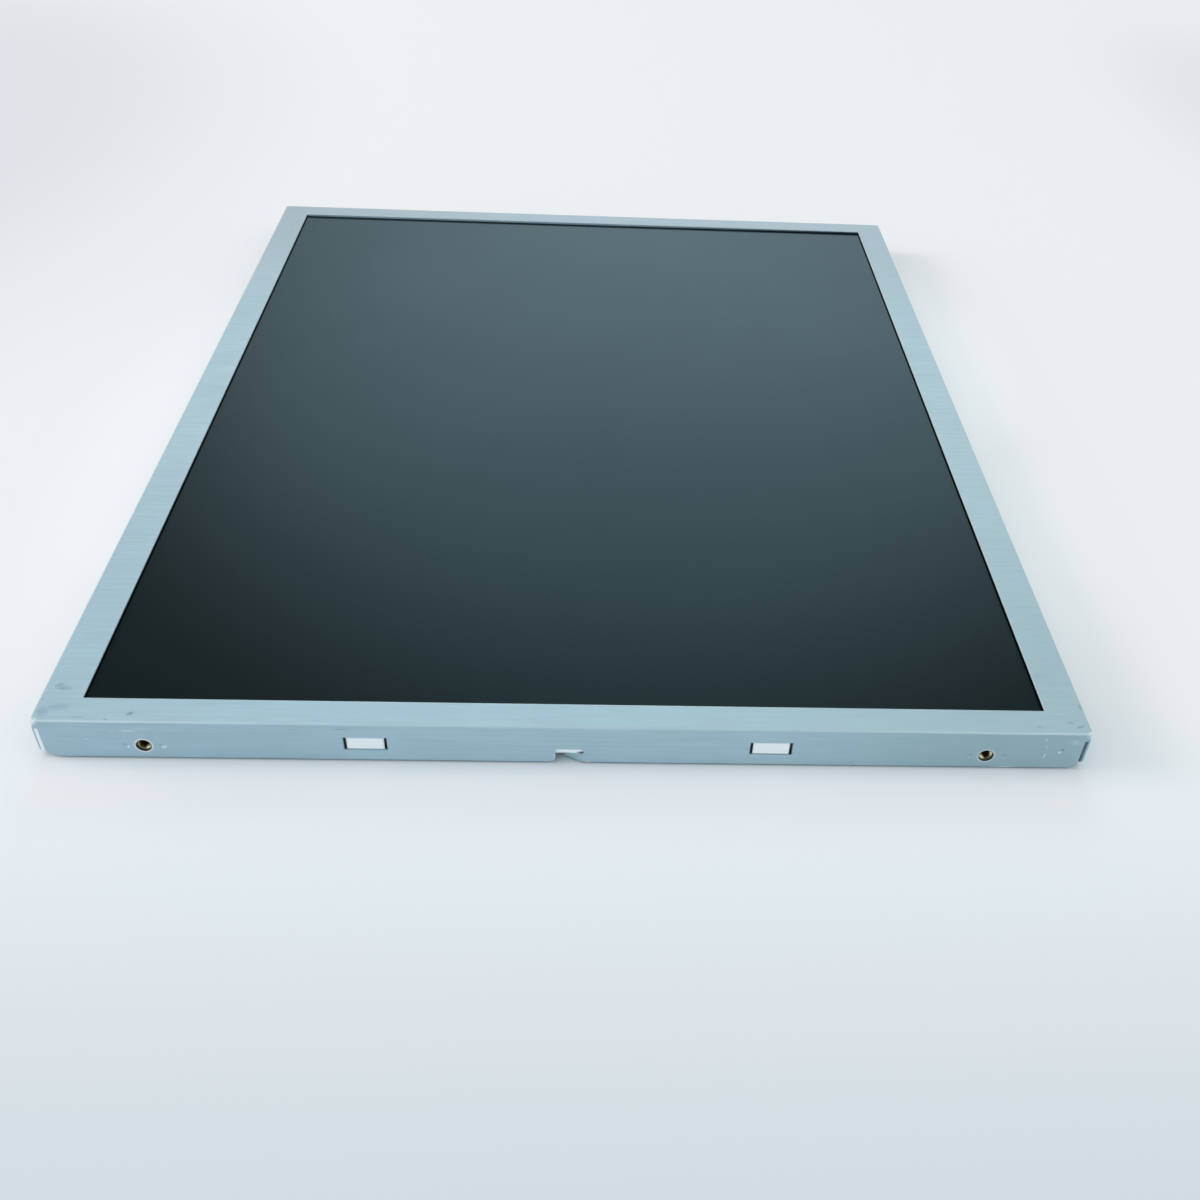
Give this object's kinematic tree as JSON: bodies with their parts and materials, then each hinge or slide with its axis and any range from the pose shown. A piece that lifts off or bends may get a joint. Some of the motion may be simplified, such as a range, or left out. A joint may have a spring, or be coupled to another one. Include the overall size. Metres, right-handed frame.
{
  "type": "lcd panel",
  "caption": "Flat display module: folded steel bezel round a matt liquid crystal screen, edge-lit backlight in a pressed chassis, and shielded boards behind, with threaded side mounts.",
  "frame": {"origin": "middle of the rear face that the module rests on", "axes": "+Z out of the screen, X across the module, +Y along it, away from the end that the picture shows nearest"},
  "size_m": [0.2964, 0.3586, 0.0145],
  "materials": {
    "bezel_steel": "satin",
    "chassis_steel": "satin",
    "plate_steel": "satin",
    "screen_film": "matt",
    "rear_film": "matt",
    "cell_glass": "clear",
    "foam": "matt",
    "frame_plastic": "matt",
    "diffuser": "matt",
    "prism": "gloss",
    "acrylic": "gloss",
    "white_film": "satin",
    "lamp_glass": "frosted",
    "silicone": "matt",
    "lamp_foil": "bright",
    "driver_film": "satin",
    "chip": "matt",
    "board": "satin",
    "insulator": "matt",
    "connector": "matt",
    "contact": "polished",
    "shield": "satin",
    "screw": "satin",
    "insert": "satin"
  },
  "bodies": {
    "root": {"array_glass": "cell_glass", "board_insulator": "insulator", "board_link_1": "driver_film", "board_link_2": "driver_film", "board_shield": "shield", "cell_gaskets": "foam", "color_filter_glass": "cell_glass", "control_board": "board", "front_bezel": "bezel_steel", "front_polarizer": "screen_film", "gate_driver_chips": "chip", "gate_film_1": "driver_film", "gate_film_2": "driver_film", "gate_film_3": "driver_film", "gate_film_4": "driver_film", "lamp_1": "lamp_glass", "lamp_2": "lamp_glass", "lamp_3": "lamp_glass", "lamp_4": "lamp_glass", "lamp_holder_1": "silicone", "lamp_holder_2": "silicone", "lamp_holder_3": "silicone", "lamp_holder_4": "silicone", "lamp_reflector_left": "lamp_foil", "lamp_reflector_right": "lamp_foil", "light_guide": "acrylic", "light_guide_stops": "silicone", "lower_diffuser": "diffuser", "mold_frame": "frame_plastic", "nut_plates": "plate_steel", "power_parts": "chip", "prism_sheet": "prism", "rear_chassis": "chassis_steel", "rear_polarizer": "rear_film", "reflector_sheet": "white_film", "shield_screws": "screw", "signal_connector": "connector", "signal_contacts": "contact", "source_board": "board", "source_driver_chips": "chip", "source_film_1": "driver_film", "source_film_2": "driver_film", "source_film_3": "driver_film", "source_film_4": "driver_film", "source_film_5": "driver_film", "source_film_6": "driver_film", "source_film_7": "driver_film", "source_film_8": "driver_film", "threaded_inserts": "insert", "timing_controller": "chip", "upper_diffuser": "diffuser"}
  },
  "joints": []
}
